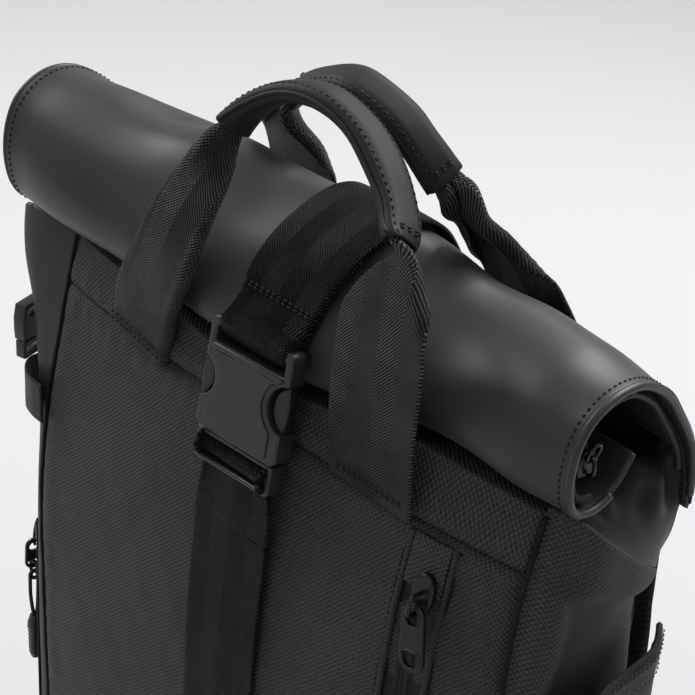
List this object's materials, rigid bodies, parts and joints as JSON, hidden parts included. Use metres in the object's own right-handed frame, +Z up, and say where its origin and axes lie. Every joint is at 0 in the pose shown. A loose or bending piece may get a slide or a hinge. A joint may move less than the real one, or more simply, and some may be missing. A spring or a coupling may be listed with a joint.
{
  "type": "rolltop backpack",
  "caption": "Tall rolltop backpack in dark woven cloth, rolled open-ended top under a central buckle strap, two carry handles, front zip, side pocket and padded shoulder straps",
  "frame": {"origin": "middle of the flat base that the pack rests on", "axes": "+Z up along the pack, +Y towards the padded back, +X to the right when the front is seen"},
  "size_m": [0.3106, 0.1416, 0.5111],
  "materials": {
    "coated_fabric": "matte coated cloth",
    "cordura": "coarse woven nylon",
    "webbing": "tightly woven webbing, slight sheen",
    "padding": "padded mesh cloth",
    "zip_tape": "coil zip tape",
    "grip_hide": "smooth, faint grain",
    "plastic": "moulded, fine grain",
    "zip_metal": "dark satin paint",
    "cord": "braided cord"
  },
  "bodies": {
    "pack": {"front_panel": "cordura", "yoke_panel": "cordura", "left_gusset": "coated_fabric", "right_gusset": "cordura", "back_panel": "padding", "base_panel": "cordura", "roll_outer": "coated_fabric", "roll_inner": "coated_fabric", "left_gusset_top": "coated_fabric", "right_gusset_top": "coated_fabric", "front_handle_webbing": "webbing", "front_handle_grip": "grip_hide", "back_handle_webbing": "webbing", "back_handle_grip": "grip_hide", "buckle_female": "plastic", "buckle_male": "plastic", "strap_upper": "webbing", "strap_lower": "webbing", "zip_welt_left": "cordura", "zip_welt_right": "cordura", "zip_tape": "zip_tape", "zip_slider": "zip_metal", "side_loop": "webbing", "side_buckle_male": "plastic", "side_buckle_female": "plastic", "side_zip_slider": "zip_metal", "side_zip_pull": "zip_metal", "side_zip_cord": "cord", "side_zip_grip": "plastic", "side_pocket": "cordura", "side_pocket_hem": "webbing", "mouth_zip_tape": "zip_tape", "mouth_zip_slider": "zip_metal", "shoulder_strap_left": "padding", "shoulder_strap_right": "padding", "strap_adjuster_left": "plastic", "strap_adjuster_right": "plastic", "strap_webbing_left": "webbing", "strap_webbing_right": "webbing"},
    "zip_pull": {"zip_pull": "zip_metal"}
  },
  "joints": [
    {"name": "zip_pull_swing", "type": "hinge", "parent": "pack", "child": "zip_pull", "pos_m": [0.0902, -0.04725, 0.36118], "axis": [-1, 0, 0], "range_deg": [0, 140]}
  ]
}
